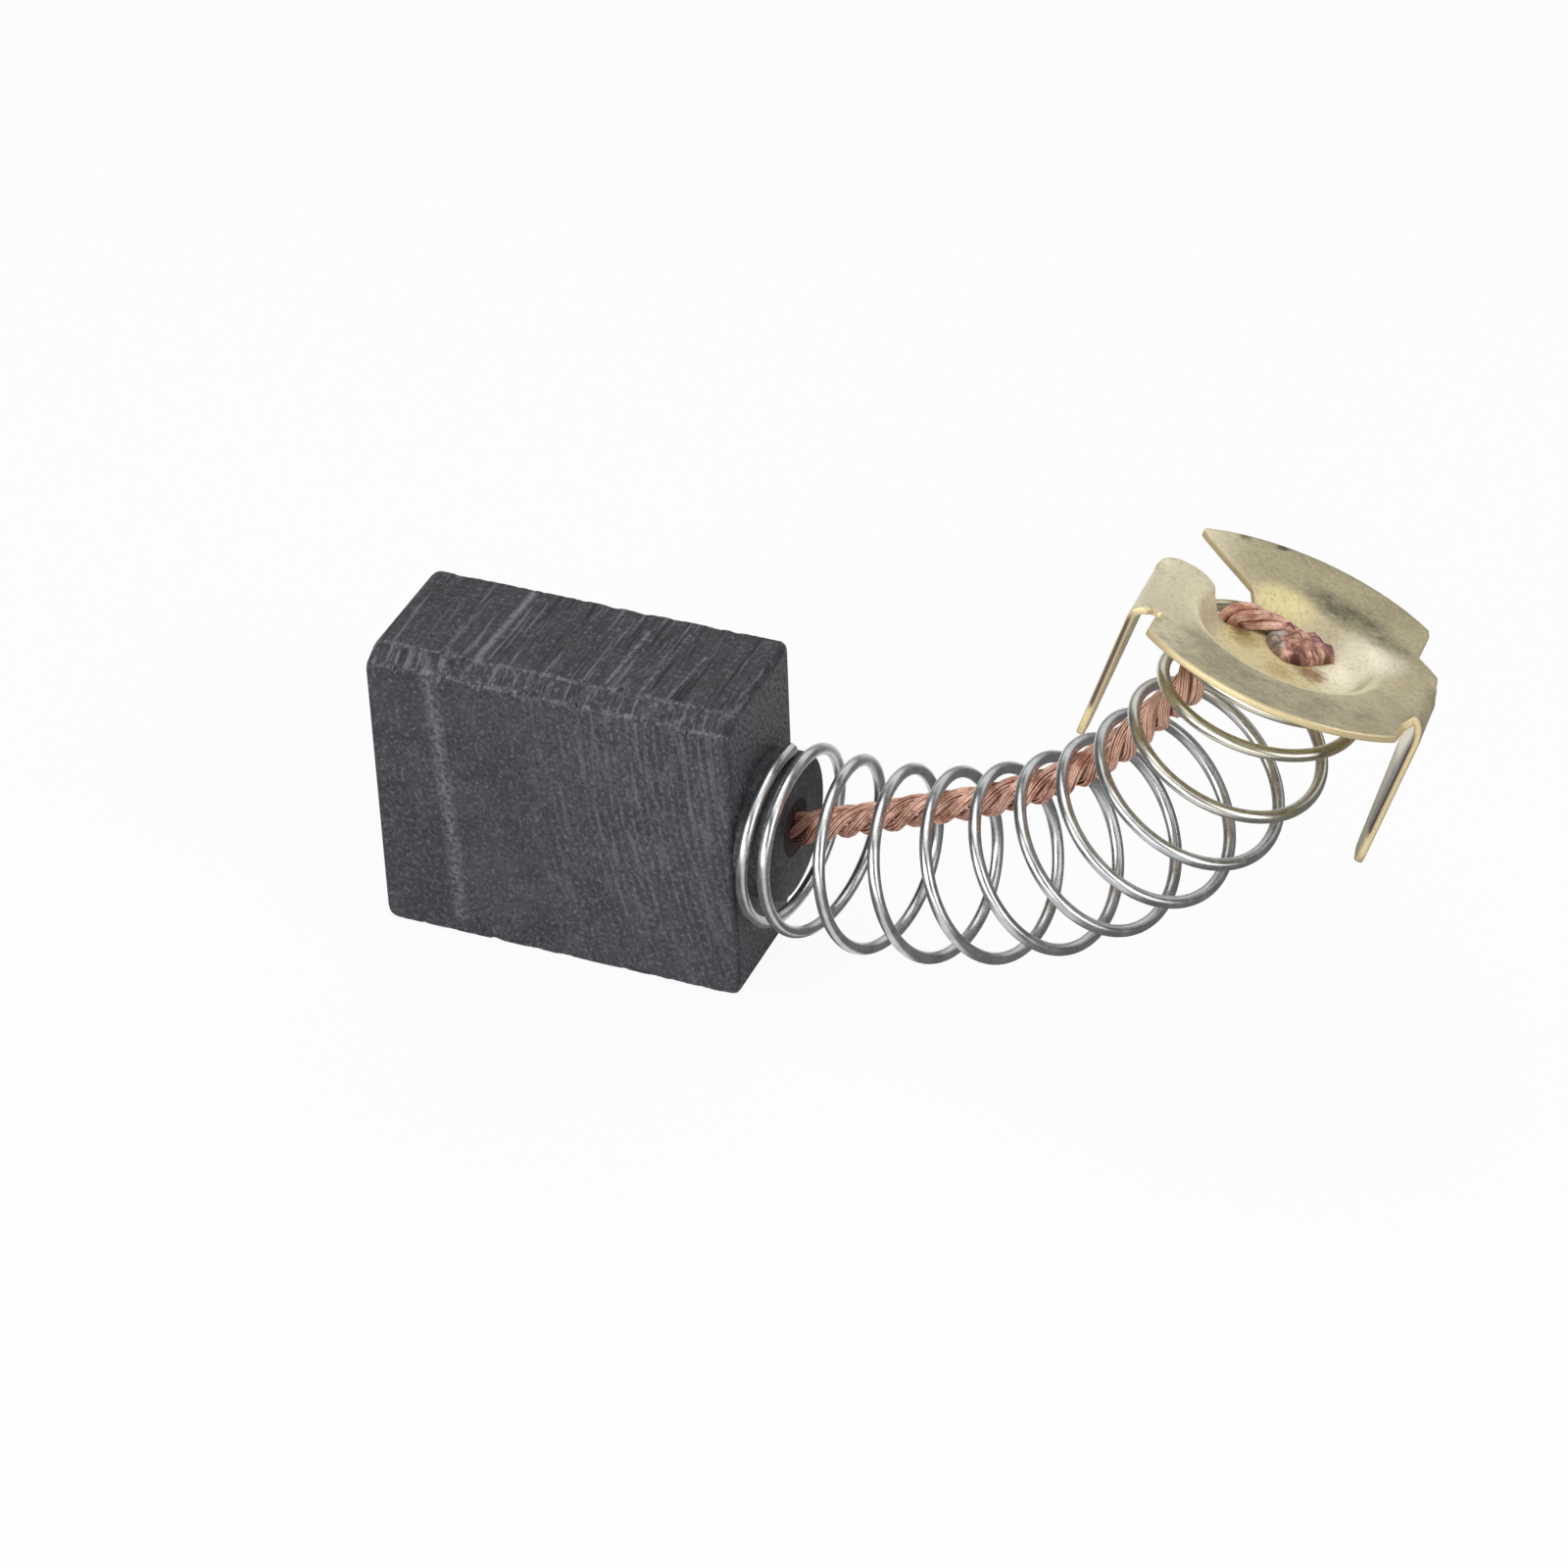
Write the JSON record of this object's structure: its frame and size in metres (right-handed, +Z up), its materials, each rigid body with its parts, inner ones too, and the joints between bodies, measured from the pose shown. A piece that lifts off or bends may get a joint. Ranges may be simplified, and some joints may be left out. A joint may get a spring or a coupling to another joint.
{
  "type": "carbon brush",
  "caption": "Carbon brush: bevelled graphite block, bowed pressure spring, copper shunt inside it and a stamped brass terminal with two legs.",
  "frame": {"origin": "middle of the block's length and thickness, on the plane of the lower narrow face that it stands on", "axes": "+X along the block towards the spring, +Y away from the picture's viewer, +Z up"},
  "size_m": [0.0442, 0.0139, 0.024],
  "materials": {
    "carbon": "matt pressed carbon graphite",
    "powder": "dull tamped copper powder",
    "spring_steel": "bright drawn spring wire",
    "brass": "stamped brass, dull with tarnish",
    "copper": "fine stranded copper",
    "weld": "flattened copper with heat tints"
  },
  "bodies": {
    "root": {"carbon_block": "carbon", "tamped_powder": "powder", "spring": "spring_steel", "terminal": "brass", "weld_pad": "weld", "shunt_bundle_1": "copper", "shunt_bundle_2": "copper", "shunt_bundle_3": "copper", "shunt_bundle_4": "copper"}
  },
  "joints": []
}
